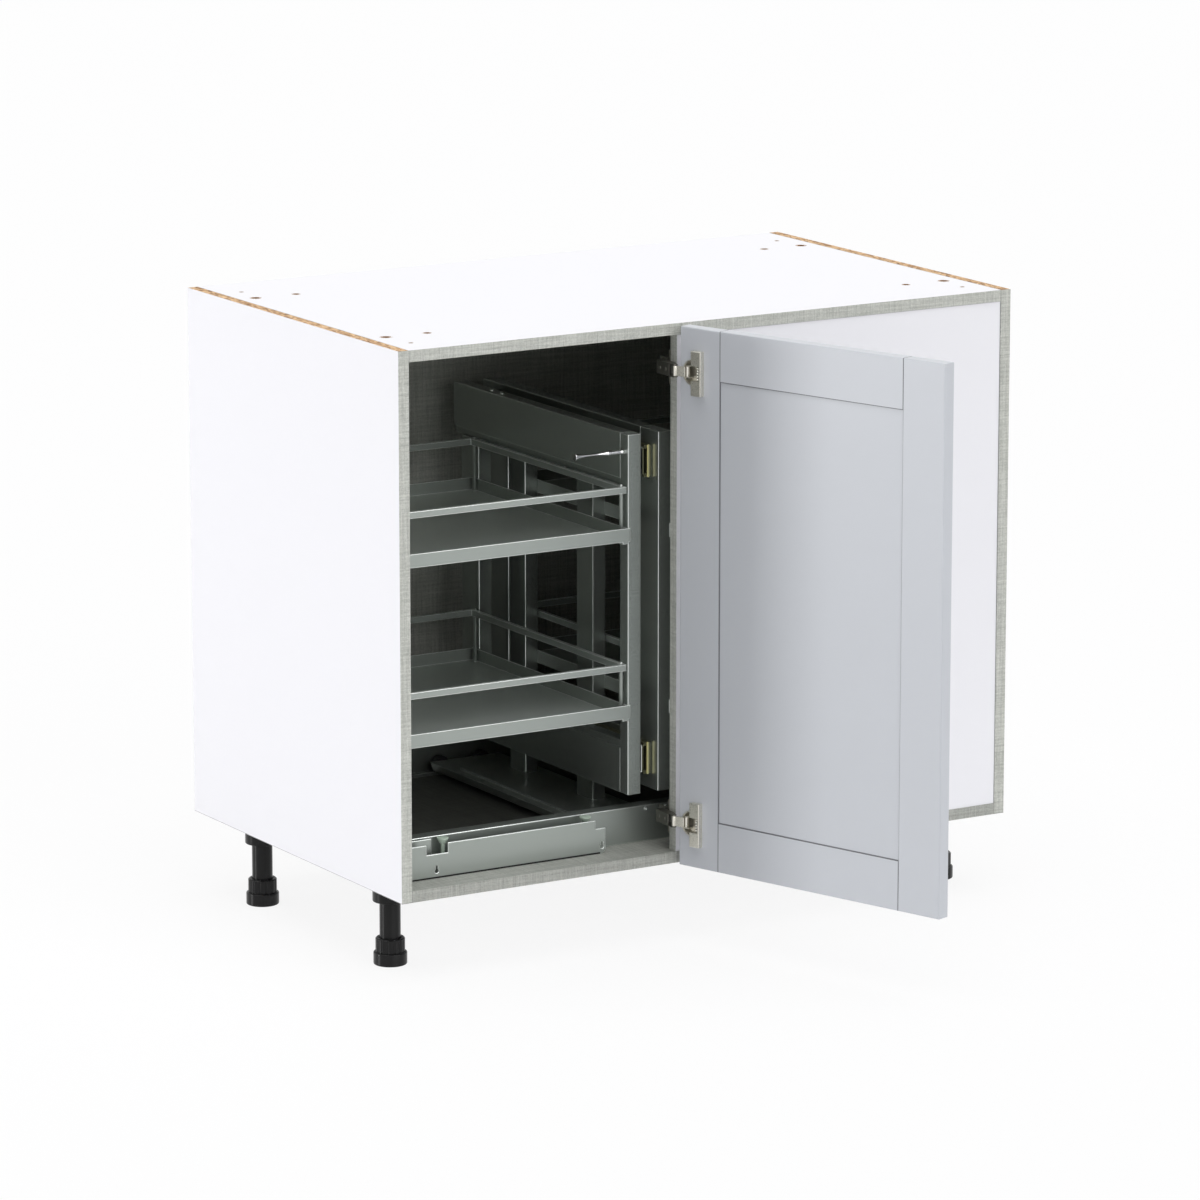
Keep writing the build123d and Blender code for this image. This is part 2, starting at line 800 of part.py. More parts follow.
def tray(x0, z0, post_side):
    """A pressed steel tray with a lip all round, hooked on the post at one side."""
    y0, x1, y1 = basket_front, x0 + basket_width, basket_back
    centre = (x0 + x1) / 2, (y0 + y1) / 2
    outer = Pos(*centre) * RectangleRounded(x1 - x0, y1 - y0, tray_corner)
    inner = Pos(*centre) * RectangleRounded(
        x1 - x0 - 2 * tray_wall, y1 - y0 - 2 * tray_wall, tray_corner - tray_wall)
    body = Pos(0, 0, z0) * extrude(outer, tray_lip)
    body -= Pos(0, 0, z0 + tray_wall) * extrude(inner, tray_lip)
    hook_x = x1 - hook_width if post_side == "right" else x0
    body += block(hook_x, hook_x + hook_width, y0, frame_front + hook_depth, z0 - hook_drop, z0)
    lap = (x1 - tray_corner, x1 + post_lap) if post_side == "right" else (x0 - post_lap, x0 + tray_corner)
    return body + block(*lap, y0, frame_front, z0, z0 + tray_lip)


def gallery_offsets():
    """How far the gallery's outer and inner faces lie in from the tray's outside."""
    outer = tray_wall + gallery_play
    return outer, outer + gallery_width


def gallery(x0, z0):
    """A railing on four rods that stand in a tray's corners, with a small cap on each rod."""
    y0, x1, y1 = basket_front, x0 + basket_width, basket_back
    centre = (x0 + x1) / 2, (y0 + y1) / 2
    near, far = gallery_offsets()
    ring = Pos(*centre) * RectangleRounded(x1 - x0 - 2 * near, y1 - y0 - 2 * near, gallery_corner)
    ring -= Pos(*centre) * Rectangle(x1 - x0 - 2 * far, y1 - y0 - 2 * far)
    rail_z = z0 + gallery_top - gallery_height
    rail = Pos(0, 0, rail_z) * extrude(ring, gallery_height)
    middle = (near + far) / 2
    for x in (x0 + middle, x1 - middle):
        for y in (y0 + gallery_rod_inset, y1 - gallery_rod_inset):
            rail += rod_z(x, y, z0 + tray_wall, rail_z, gallery_rod / 2)
            cap_top = z0 + gallery_top + cap_rise
            rail += rod_z(x, y, z0 + gallery_top, cap_top, gallery_rod / 2 - cap_rise / 2)
    return rail


def pull_handle():
    """A turned handle, waisted near its flared end, screwed into the front post."""
    level = frame_end_z - handle_drop
    y = frame_front + front_post_depth / 2
    end = handle_length
    stem = Polyline((0, end), (0, 0), (handle_boss, 0), (handle_boss, handle_boss),
                    (handle_grip, 2 * handle_boss), (handle_grip, handle_grip_end))
    waist = Spline((handle_grip, handle_grip_end), (handle_waist, handle_waist_at),
                   (handle_flare, end - handle_end))
    tip = Polyline((handle_flare, end - handle_end), (handle_flare, end), (0, end))
    turned = revolve(Plane.XZ * make_face(stem + waist + tip), Axis.Z)
    return Pos(front_frame_left, y, level) * Rot(0, -90, 0) * turned


def build_parts():
    """Every piece by name, as built, with the door open."""
    parts = {
        "side_panel_left": side_panel("left"),
        "side_panel_right": side_panel("right"),
        "top_panel": flat_board(ceiling_z, ceiling_z, box_top - drilled_depth),
        "bottom_panel": flat_board(box_bottom, floor_z - groove_depth, box_bottom),
        "back_panel": back_panel(),
        "blind_panel": blind_panel(),
        "dowels": dowels(dowel_diameter / 2, 0),
    }
    parts["leg_sockets"] = [leg_socket(x, y) for x, y in leg_places.values()]
    for name, (x, y) in leg_places.items():
        parts["leg_foot_" + name] = leg_foot(x, y)
    parts["door_stile_hinge_side"] = swung_door(door_stile("hinge"))
    parts["door_stile_free_side"] = swung_door(door_stile("free"))
    parts["door_rail_top"] = swung_door(door_rail("top"))
    parts["door_rail_bottom"] = swung_door(door_rail("bottom"))
    parts["door_panel"] = swung_door(door_panel())
    for name, level in hinge_levels.items():
        parts["hinge_cup_" + name] = swung_door(hinge_cup(level))
        parts["hinge_link_" + name] = swung_link(hinge_link(level))
        parts["hinge_arm_" + name] = hinge_arm(level)
        parts["hinge_plate_" + name] = hinge_plate(level)
    parts["base_front_rail"] = base_front_rail()
    parts["base_bumpers"] = base_bumpers()
    parts["base_track_front"] = track(track_y, 1)
    parts["base_track_rear"] = track(rear_track_y + track_depth, -1)
    parts["carriage_base"] = carriage_base()
    for side, x in roller_xs.items():
        for end in ("front", "rear"):
            parts["carriage_roller_" + end + "_" + side] = roller(x, end)
    parts["rear_frame_legs"] = [
        rear_frame_post(y, leg_post_depth, foot_plate_top, frame_z) for y in leg_post_ys]
    parts["rear_frame_beam_lower"] = rear_frame_beam(frame_z)
    parts["rear_frame_beam_upper"] = rear_frame_beam(upper_beam_bottom)
    parts["rear_frame_uprights"] = [
        rear_frame_post(y, leg_post_depth, lower_beam_top, upper_beam_bottom) for y in leg_post_ys]
    parts["rear_frame_rear_post"] = rear_frame_post(
        rear_post_y, rear_post_depth, lower_beam_top, upper_beam_bottom)
    parts["rear_frame_front_post"] = rear_frame_post(
        frame_front, rear_frame_post_depth, frame_z, frame_end_z)
    parts["front_frame_front_post"] = front_frame_post(
        frame_front, front_post_depth, frame_z, frame_end_z)
    parts["front_frame_rear_post"] = front_frame_post(
        rear_post_y, rear_post_depth, lower_beam_top, upper_beam_bottom)
    parts["front_frame_beam_lower"] = front_frame_beam(frame_z, "high", slide_levels["lower"])
    parts["front_frame_beam_upper"] = front_frame_beam(upper_beam_bottom, "low", slide_levels["upper"])
    for name, level in slide_levels.items():
        parts["slide_outer_" + name] = slide_outer(level)
        parts["slide_middle_" + name] = slide_middle(level)
        parts["slide_inner_" + name] = slide_inner(level)
    for name, z in tray_zs.items():
        parts["front_tray_" + name] = tray(basket_left, z, "right")
        parts["front_gallery_" + name] = gallery(basket_left, z)
        parts["rear_tray_" + name] = tray(rear_frame_right, z, "left")
        parts["rear_gallery_" + name] = gallery(rear_frame_right, z)
    parts["pull_handle"] = pull_handle()
    return parts


def as_one(piece):
    """One shape for a node, also where it holds several solids."""
    return Compound(children=list(piece)) if isinstance(piece, list) else piece


def floor_origin(shapes):
    """The point on the floor under the middle of the box round every piece."""
    boxes = [shape.bounding_box() for shape in shapes]
    x = (min(b.min.X for b in boxes) + max(b.max.X for b in boxes)) / 2
    y = (min(b.min.Y for b in boxes) + max(b.max.Y for b in boxes)) / 2
    return Vector(x, y, 0)


shapes = {name: as_one(piece) for name, piece in build_parts().items()}
origin = floor_origin(shapes.values())
os.makedirs("parts", exist_ok=True)
for name, shape in shapes.items():
    export_step(Pos(-origin.X, -origin.Y, 0) * shape, "parts/" + name + ".step")
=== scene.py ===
"""The blind corner base cabinet, dressed for the studio in the order in which it is put together."""

import math

import bmesh
import bpy
from mathutils import Matrix, Vector


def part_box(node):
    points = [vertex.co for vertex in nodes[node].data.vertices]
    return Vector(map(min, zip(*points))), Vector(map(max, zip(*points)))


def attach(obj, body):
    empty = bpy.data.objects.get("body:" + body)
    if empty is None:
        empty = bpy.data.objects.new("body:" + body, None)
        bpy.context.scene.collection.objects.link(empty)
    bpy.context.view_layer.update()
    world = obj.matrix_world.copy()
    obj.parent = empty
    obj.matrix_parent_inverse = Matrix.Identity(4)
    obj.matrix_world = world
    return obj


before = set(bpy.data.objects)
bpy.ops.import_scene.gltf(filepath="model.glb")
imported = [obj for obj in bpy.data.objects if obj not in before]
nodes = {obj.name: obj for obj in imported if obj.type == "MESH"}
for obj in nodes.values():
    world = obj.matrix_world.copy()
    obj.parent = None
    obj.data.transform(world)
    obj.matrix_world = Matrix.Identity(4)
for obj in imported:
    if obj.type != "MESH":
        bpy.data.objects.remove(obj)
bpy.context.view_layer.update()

# The studio: a plain pale floor that runs out of view on every side, and a white room around it.
# The room lights the cabinet evenly from all round, as a light tent does. Soft lamps above and at
# the front right give it direction, and a tall light box stands at the left, a little behind.
floor_reach = 60.0
floor_white = (0.82, 0.82, 0.825, 1.0)
floor_glow = 0.88
tent_light = (0.98, 0.98, 1.0, 1.0)
tent_strength = 0.38

floor_mesh = bpy.data.meshes.new("studio_floor")
corners = [(-1, -1), (1, -1), (1, 1), (-1, 1)]
floor_mesh.from_pydata([(x * floor_reach, y * floor_reach, 0.0) for x, y in corners], [], [(0, 1, 2, 3)])
floor = bpy.data.objects.new("studio_floor", floor_mesh)
bpy.context.scene.collection.objects.link(floor)


def new_material(name, colour=None, rough=None):
    """A material with a principled surface, its node tree, and that surface's shader."""
    material = bpy.data.materials.new(name)
    material.use_nodes = True
    tree = material.node_tree
    shader = tree.nodes["Principled BSDF"]
    if colour is not None:
        shader.inputs["Base Color"].default_value = colour
    if rough is not None:
        shader.inputs["Roughness"].default_value = rough
    return material, tree, shader


def add(tree, kind, sockets=None, **settings):
    """A node of a tree, with its settings, and its sockets set to a value or linked to another's."""
    made = tree.nodes.new(kind)
    for key, value in settings.items():
        setattr(made, key, value)
    for key, value in (sockets or {}).items():
        if isinstance(value, bpy.types.NodeSocket):
            tree.links.new(value, made.inputs[key])
        else:
            made.inputs[key].default_value = value
    return made


def either(tree, first, second):
    """The greater of two values, so 1 where either of two masks is 1."""
    return add(tree, "ShaderNodeMath", {0: first, 1: second}, operation="MAXIMUM").outputs[0]


floor_paint, tree, shader = new_material("studio_floor_paint", floor_white, 0.9)
shader.inputs["Specular IOR Level"].default_value = 0.1
path = add(tree, "ShaderNodeLightPath").outputs
seen = either(tree, path["Is Camera Ray"], path["Is Glossy Ray"])
glow_share = add(tree, "ShaderNodeMath", {0: seen, 1: floor_glow}, operation="MULTIPLY")
glow = add(tree, "ShaderNodeEmission", {"Color": (1, 1, 1, 1), "Strength": 1.0})
blend = add(tree, "ShaderNodeMixShader", {0: glow_share.outputs[0], 1: shader.outputs[0],
                                          2: glow.outputs[0]})
tree.links.new(blend.outputs[0], tree.nodes["Material Output"].inputs["Surface"])
floor_mesh.materials.append(floor_paint)

world = bpy.data.worlds.new("white_room")
world.use_nodes = True
bpy.context.scene.world = world
tree = world.node_tree
path = add(tree, "ShaderNodeLightPath").outputs
seen = either(tree, path["Is Camera Ray"], path["Is Glossy Ray"])
seen = either(tree, seen, path["Is Transmission Ray"])
lit = tree.nodes["Background"]
lit.inputs["Color"].default_value = tent_light
lit.inputs["Strength"].default_value = tent_strength
shown = add(tree, "ShaderNodeBackground", {"Color": (1, 1, 1, 1), "Strength": 1.0})
blend = add(tree, "ShaderNodeMixShader", {0: seen, 1: lit.outputs[0], 2: shown.outputs[0]})
tree.links.new(blend.outputs[0], tree.nodes["World Output"].inputs["Surface"])


def soft_lamp(name, toward, power, spread_degrees):
    """A far, wide lamp that shines in a direction."""
    lamp = bpy.data.lights.new(name, "SUN")
    lamp.energy = power
    lamp.angle = math.radians(spread_degrees)
    holder = bpy.data.objects.new(name, lamp)
    holder.rotation_mode = "QUATERNION"
    holder.rotation_quaternion = Vector(toward).to_track_quat("-Z", "Y")
    bpy.context.scene.collection.objects.link(holder)


soft_lamp("overhead_lamp", (0.05, 0.1, -1.0), 1.98, 60)
soft_lamp("front_right_lamp", (-0.25, 1.0, -0.35), 0.94, 55)

light_box_away = 8.0
light_box_aim = Vector((0.0, -0.2, 0.6))
light_box_toward = Vector((0.936, -0.352, 0.0))
light_box = bpy.data.lights.new("left_light_box", "AREA")
light_box.shape = "RECTANGLE"
light_box.size = 1.5
light_box.size_y = 1.1
light_box.energy = 184.0
light_box_holder = bpy.data.objects.new("left_light_box", light_box)
light_box_holder.location = light_box_aim - light_box_away * light_box_toward
light_box_holder.rotation_mode = "QUATERNION"
light_box_holder.rotation_quaternion = light_box_toward.to_track_quat("-Z", "Y")
bpy.context.scene.collection.objects.link(light_box_holder)

# The camera stands 9 m away at the front left, a little above the cabinet, with a long lens.
camera_place = (-4.5431, -7.3311, 2.3354)
camera_yaw = 0.54163
camera_pitch = 0.21334
camera_lens = 189.47

camera_data = bpy.data.cameras.new("camera")
camera_data.sensor_width = 36.0
camera_data.lens = camera_lens
camera = bpy.data.objects.new("camera", camera_data)
camera.location = camera_place
ahead = Vector((math.sin(camera_yaw) * math.cos(camera_pitch),
                math.cos(camera_yaw) * math.cos(camera_pitch), -math.sin(camera_pitch)))
camera.rotation_mode = "QUATERNION"
camera.rotation_quaternion = ahead.to_track_quat("-Z", "Y")
bpy.context.scene.collection.objects.link(camera)
bpy.context.scene.camera = camera

# Boards: 16 mm chipboard faced with white melamine outside and with a woven, linen-look melamine
# inside and on the front edges. The ends of the sides are left raw, so the chips show along the top.
# Fine darker lines of painted shade run where boards meet, along the top and right of the blind panel and
# along the sides' lower edges, and the drill has torn the facing round each hole.
melamine_white = (0.86, 0.858, 0.888, 1.0)
linen_light = (0.62, 0.63, 0.58, 1.0)
linen_dark = (0.36, 0.37, 0.335, 1.0)
chip_pale = (0.8, 0.57, 0.34, 1.0)
chip_mid = (0.5, 0.3, 0.15, 1.0)
chip_dark = (0.16, 0.08, 0.035, 1.0)
torn_chips = (0.3, 0.155, 0.055, 1.0)
thread_widths = (0.32, 0.85)
slub_scale = 14.0
chip_scale = (420.0, 125.0, 420.0)
face_depth = 0.0004
shade_line_depth = 0.0009
seam_painted_shade = (0.55, 0.55, 0.55, 1.0)
# Painted shade: the bottom board's weave is darker, the floor behind the front track much darker, and the
# back panel's weave darker, for the shade inside the cabinet.
bottom_board_painted_shade = 0.74
inner_floor_painted_shadow = 0.4
back_panel_painted_shade = 0.78


def object_place(tree):
    """Where a point lies, in metres in the cabinet's frame."""
    return add(tree, "ShaderNodeTexCoord").outputs["Object"]


def noise(tree, place, scale, detail=2.0):
    """A soft random pattern, from 0 to 1."""
    made = add(tree, "ShaderNodeTexNoise", {"Vector": place, "Scale": scale, "Detail": detail})
    return made.outputs["Fac"]


def blended(tree, mask, before, after, blend_type="MIX"):
    """One colour, and another where the mask is 1."""
    mixed = add(tree, "ShaderNodeMix", {"Factor": mask, 6: before, 7: after}, data_type="RGBA",
                blend_type=blend_type)
    return mixed.outputs[2]


def threads(tree, place, along, across):
    """A streaked noise for threads that run along one axis, with so many across a millimetre."""
    scale = [across * 1000.0] * 3
    scale[along] = slub_scale
    turned = add(tree, "ShaderNodeMapping", {"Vector": place, "Scale": scale})
    return add(tree, "ShaderNodeTexNoise", {"Vector": turned.outputs[0], "Scale": 1.0, "Detail": 2.0,
                                            "Roughness": 0.6}).outputs["Fac"]


def linen_group():
    """The weave, from fine and slubby threads along all three axes, so that it crosses on any face."""
    group = bpy.data.node_groups.new("linen_weave", "ShaderNodeTree")
    group.interface.new_socket("Light", in_out="INPUT", socket_type="NodeSocketColor")
    group.interface.new_socket("Dark", in_out="INPUT", socket_type="NodeSocketColor")
    group.interface.new_socket("Color", in_out="OUTPUT", socket_type="NodeSocketColor")
    group.interface.new_socket("Height", in_out="OUTPUT", socket_type="NodeSocketFloat")
    given = group.nodes.new("NodeGroupInput")
    taken = group.nodes.new("NodeGroupOutput")
    place = object_place(group)
    total = None
    for across in thread_widths:
        for along in range(3):
            one = threads(group, place, along, across)
            if total is None:
                total = one
            else:
                total = add(group, "ShaderNodeMath", {0: total, 1: one}, operation="ADD").outputs[0]
    spread = add(group, "ShaderNodeMapRange", {"Value": total, "From Min": 2.55, "From Max": 3.45})
    tone = blended(group, spread.outputs[0], given.outputs["Dark"], given.outputs["Light"])
    group.links.new(tone, taken.inputs["Color"])
    group.links.new(spread.outputs[0], taken.inputs["Height"])
    return group


def chipboard_group():
    """Pressed chips: flat flakes of mixed tones with dark pores between them."""
    group = bpy.data.node_groups.new("raw_chipboard", "ShaderNodeTree")
    group.interface.new_socket("Color", in_out="OUTPUT", socket_type="NodeSocketColor")
    group.interface.new_socket("Height", in_out="OUTPUT", socket_type="NodeSocketFloat")
    taken = group.nodes.new("NodeGroupOutput")
    place = object_place(group)
    flat = add(group, "ShaderNodeMapping", {"Vector": place, "Scale": chip_scale})
    flakes = add(group, "ShaderNodeTexVoronoi", {"Vector": flat.outputs[0], "Scale": 1.0})
    pick = add(group, "ShaderNodeSeparateColor", {0: flakes.outputs["Color"]})
    ramp = add(group, "ShaderNodeValToRGB", {0: pick.outputs[0]})
    ramp.color_ramp.elements[0].color = chip_dark
    ramp.color_ramp.elements[1].color = chip_pale
    middle = ramp.color_ramp.elements.new(0.35)
    middle.color = chip_mid
    soft = add(group, "ShaderNodeTexNoise", {"Vector": place, "Scale": 900.0, "Detail": 3.0})
    tint = blended(group, 0.35, ramp.outputs[0], soft.outputs["Color"], "SOFT_LIGHT")
    group.links.new(tint, taken.inputs["Color"])
    group.links.new(pick.outputs[1], taken.inputs["Height"])
    return group


linen = linen_group()
chipboard = chipboard_group()
axes = {"x": 0, "y": 1, "z": 2}
origin = Vector((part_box("side_panel_left")[0][0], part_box("side_panel_left")[0][1], 0.0))


def spot(x, y, z):
    """A point given in millimetres from the cabinet's front left corner on the floor."""
    return origin + Vector((x, y, z)) / 1000.0


def band(tree, value, level, half):
    """1 within a narrow band of a value, and 0 elsewhere."""
    return add(tree, "ShaderNodeMath", {0: value, 1: level, 2: half}, operation="COMPARE").outputs[0]


def relief(tree, shader, height, strength, depth=0.0002):
    """A fine unevenness of the surface, from a texture."""
    bump = add(tree, "ShaderNodeBump", {"Height": height, "Strength": strength, "Distance": depth})
    tree.links.new(bump.outputs[0], shader.inputs["Normal"])


def face_mask(tree, place, low, high, faces, depth=face_depth):
    """1 on the named faces of a board, such as -x or +z, or within a depth of them, and 0 elsewhere."""
    total = None
    for face in faces:
        axis = axes[face[1]]
        level = low[axis] if face[0] == "-" else high[axis]
        near = band(tree, place.outputs[axis], level, depth)
        total = near if total is None else either(tree, total, near)
    return total


def weave_in(tree, shade):
    """The woven facing, darkened by the shade factor where shade is painted in."""
    weave = add(tree, "ShaderNodeGroup", {}, node_tree=linen)
    weave.inputs["Light"].default_value = [part * shade for part in linen_light[:3]] + [1.0]
    weave.inputs["Dark"].default_value = [part * shade for part in linen_dark[:3]] + [1.0]
    return weave.outputs["Color"], weave.outputs["Height"]


def torn_rims(tree, place, rims):
    """1 round each drilled hole, where the drill has torn the facing, and 0 elsewhere."""
    flat = add(tree, "ShaderNodeCombineXYZ", {0: place.outputs[0], 1: place.outputs[1]})
    ragged = noise(tree, flat.outputs[0], 500.0, 1.0)
    share = add(tree, "ShaderNodeMath", {0: ragged, 1: 0.5}, operation="ADD").outputs[0]
    total = None
    for x, y, radius in rims:
        away = add(tree, "ShaderNodeVectorMath", {0: flat.outputs[0], 1: spot(x, y, 0.0)},
                   operation="DISTANCE").outputs["Value"]
        torn = add(tree, "ShaderNodeMath", {0: share, 1: radius / 1000.0}, operation="MULTIPLY")
        near = add(tree, "ShaderNodeMath", {0: away, 1: torn.outputs[0]}, operation="LESS_THAN").outputs[0]
        total = near if total is None else either(tree, total, near)
    return total


def blended_value(tree, mask, before, after):
    """One value, and another where the mask is 1."""
    return add(tree, "ShaderNodeMix", {"Factor": mask, 2: before, 3: after}, data_type="FLOAT").outputs[0]


def board_material(node, white=(), woven=(), painted_shadow_behind=None, shade=1.0, painted_shade_lines=(), rims=()):
    """Each face of a board gets its own facing, and what is named nowhere shows raw chips. Behind a depth,
    where one is named, the upper face has a much darker weave, a painted shadow. Fine darker lines of
    painted shade run along the named faces."""
    material, tree, shader = new_material(node + "_facing")
    low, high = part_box(node)
    point = object_place(tree)
    place = add(tree, "ShaderNodeSeparateXYZ", {0: point})
    raw = add(tree, "ShaderNodeGroup", node_tree=chipboard)
    colour, height, rough = raw.outputs["Color"], raw.outputs["Height"], 0.9
    layers = [
        (white, melamine_white, noise(tree, point, 700.0), 0.34),
        (woven, *weave_in(tree, shade), 0.45),
    ]
    for faces, tone, grain, gloss in layers:
        if not faces:
            continue
        mask = face_mask(tree, place, low, high, faces)
        colour = blended(tree, mask, colour, tone)
        height = blended_value(tree, mask, height, grain)
        rough = blended_value(tree, mask, rough, gloss)
    # Painted shadow: a much darker weave on the upper face behind the given depth.
    if painted_shadow_behind is not None:
        top = face_mask(tree, place, low, high, ("+z",))
        behind = add(tree, "ShaderNodeMath", {0: place.outputs[1], 1: painted_shadow_behind},
                     operation="GREATER_THAN")
        mask = add(tree, "ShaderNodeMath", {0: top, 1: behind.outputs[0]}, operation="MULTIPLY").outputs[0]
        colour = blended(tree, mask, colour, weave_in(tree, inner_floor_painted_shadow)[0])
    # Painted shade: fine darker lines along the named faces.
    if painted_shade_lines:
        mask = face_mask(tree, place, low, high, painted_shade_lines, shade_line_depth)
        colour = blended(tree, mask, colour, seam_painted_shade, "MULTIPLY")
    if rims:
        colour = blended(tree, torn_rims(tree, place, rims), colour, torn_chips)
    tree.links.new(colour, shader.inputs["Base Color"])
    tree.links.new(rough, shader.inputs["Roughness"])
    relief(tree, shader, height, 0.12)
    return material


def dress(name, material, edge_material=None):
    """Gives a CAD node its finish, and another for its rounded edges where it is named."""
    nodes[name].data.materials.clear()
    nodes[name].data.materials.append(material)
    if edge_material:
        nodes[name].data.materials.append(edge_material)


leg_ys = (108.0, 482.0)
leg_places = [(x, y) for x in (41.3, 949.3) for y in leg_ys]
rims = [(x, y, 8.2) for x, y in leg_places]
rims += [(x, y, 6.2) for x in (105.3, 885.3) for y in leg_ys]
rims += [(x, y, 3.6) for x in (48.0, 942.6) for y in (50.8, 537.6)]
track_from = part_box("base_track_front")[0][1]
facings = {
    "side_panel_left": {"white": ("-x",), "woven": ("-y", "+x"), "painted_shade_lines": ("-z",)},
    "side_panel_right": {"white": ("+x",), "woven": ("-y", "-x"), "painted_shade_lines": ("-z",)},
    "top_panel": {"white": ("+z",), "woven": ("-y", "-z"), "painted_shade_lines": ("-x", "+x"), "rims": rims},
    # The bottom board's weave is painted darker, and much darker behind the front track: painted shade.
    "bottom_panel": {"white": ("-z",), "woven": ("-y", "+z"), "painted_shade_lines": ("-x", "+x"),
                     "painted_shadow_behind": track_from, "shade": bottom_board_painted_shade},
    "blind_panel": {"white": ("-y",), "woven": ("-x", "+y"), "painted_shade_lines": ("+z", "+x")},
}
for name, facing in facings.items():
    dress(name, board_material(name, **facing))

# Back panel: a 5 mm sheet with the woven facing inside and a plain white back. It slides into
# grooves in all four boards before the last side goes on.
# Its weave is printed darker as painted shade.
dress("back_panel", board_material("back_panel", white=("+y",), woven=("-y",), shade=back_panel_painted_shade))

# Dowels: beech pegs, glued into the ends of the boards. They are hidden once it is built.
beech = (0.62, 0.42, 0.24, 1.0)
beech_late = (0.42, 0.26, 0.13, 1.0)

dowel_wood, tree, shader = new_material("beech", rough=0.7)
grain = noise(tree, object_place(tree), 400.0, 4.0)
tree.links.new(blended(tree, grain, beech, beech_late), shader.inputs["Base Color"])
dress("dowels", dowel_wood)

# Legs: moulded black plastic. The turned mould leaves fine rings, which stretch the light upwards.
# Each foot screws into its socket, which is pushed into a hole in the bottom board. A collar stands
# round the socket's flange, up to the board.
leg_black = (0.004, 0.004, 0.0042, 1.0)

leg_plastic, tree, shader = new_material("black_moulded_plastic", leg_black, 0.31)
level = add(tree, "ShaderNodeMapping", {"Vector": object_place(tree), "Scale": (8.0, 8.0, 2500.0)})
relief(tree, shader, noise(tree, level.outputs[0], 1.0), 0.1, 0.0001)
upward = add(tree, "ShaderNodeCombineXYZ", {0: 0.05, 1: 0.02, 2: 1.0})
tree.links.new(upward.outputs[0], shader.inputs["Tangent"])
shader.inputs["Anisotropic"].default_value = 0.9
shader.inputs["Specular IOR Level"].default_value = 0.25
dress("leg_sockets", leg_plastic)
for corner in ("front_left", "front_right", "rear_left", "rear_right"):
    dress("leg_foot_" + corner, leg_plastic)

# The collar's outline, radius and height, with its rounded foot: round the tube, then the flange.
round_tube, round_flange, collar_radius = 14.75, 23.05, 24.2
collar_foot, flange_foot, collar_top = 89.5, 101.2, 114.2
collar_outline = [(round_tube, collar_foot), (22.6, collar_foot), (23.4, 89.8), (24.0, 90.4),
                  (collar_radius, 91.2), (collar_radius, collar_top), (round_flange, collar_top),
                  (round_flange, flange_foot), (round_tube, flange_foot)]
collar_sides = 64
shape = bmesh.new()
for x, y in leg_places:
    rings = []
    for step in range(collar_sides):
        angle = 2 * math.pi * step / collar_sides
        rings.append([shape.verts.new(spot(x + radius * math.cos(angle), y + radius * math.sin(angle), z))
                      for radius, z in collar_outline])
    for ring, following in zip(rings, rings[1:] + rings[:1]):
        for at in range(len(collar_outline)):
            after = (at + 1) % len(collar_outline)
            shape.faces.new((ring[at], following[at], following[after], ring[after])).smooth = True
bmesh.ops.recalc_face_normals(shape, faces=shape.faces)
collar_mesh = bpy.data.meshes.new("leg_socket_collars")
shape.to_mesh(collar_mesh)
shape.free()
collar_mesh.set_sharp_from_angle(angle=math.radians(50))
collar_mesh.materials.append(leg_plastic)
collars = bpy.data.objects.new("leg_socket_collars", collar_mesh)
bpy.context.scene.collection.objects.link(collars)
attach(collars, "carcass")

# Door: a frame of two stiles and two rails round a flat panel, sprayed with satin grey blue lacquer. Its
# inner face is in view. The fine dark line at each joint is painted shade, where the joint's small groove
# lies in shade.
lacquer = (0.555, 0.575, 0.61, 1.0)
lacquer_shift = (0.54, 0.56, 0.595, 1.0)
joint_edge = 0.0007
joint_line = 0.0008
joint_painted_shade = (0.2, 0.205, 0.22, 1.0)
door_opened = math.radians(108.4)
door_along = Vector((-math.cos(door_opened), -math.sin(door_opened), 0.0))


def reach(name, direction):
    """How far a node reaches along a direction, from the least to the most."""
    steps = [vertex.co.dot(direction) for vertex in nodes[name].data.vertices]
    return min(steps), max(steps)


door_lacquer, tree, shader = new_material("satin_door_lacquer", rough=0.38)
place = object_place(tree)
up = add(tree, "ShaderNodeSeparateXYZ", {0: place}).outputs[2]
along = add(tree, "ShaderNodeVectorMath", {0: place, 1: door_along}, operation="DOT_PRODUCT")
along = along.outputs["Value"]
first_joint = reach("door_stile_hinge_side", door_along)[1]
last_joint = reach("door_stile_free_side", door_along)[0]
between = band(tree, along, (first_joint + last_joint) / 2, (last_joint - first_joint) / 2)
rail_joints = either(tree, band(tree, up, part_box("door_rail_top")[0][2], joint_line),
                     band(tree, up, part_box("door_rail_bottom")[1][2], joint_line))
rail_lines = add(tree, "ShaderNodeMath", {0: rail_joints, 1: between}, operation="MULTIPLY").outputs[0]
stile_lines = either(tree, band(tree, along, first_joint, joint_line),
                     band(tree, along, last_joint, joint_line))
tone = blended(tree, noise(tree, place, 6.0), lacquer, lacquer_shift)
# Painted shade: a fine dark line along each joint of stiles, rails and panel.
tone = blended(tree, either(tree, rail_lines, stile_lines), tone, joint_painted_shade)
tree.links.new(tone, shader.inputs["Base Color"])
relief(tree, shader, noise(tree, place, 420.0, 1.0), 0.08)


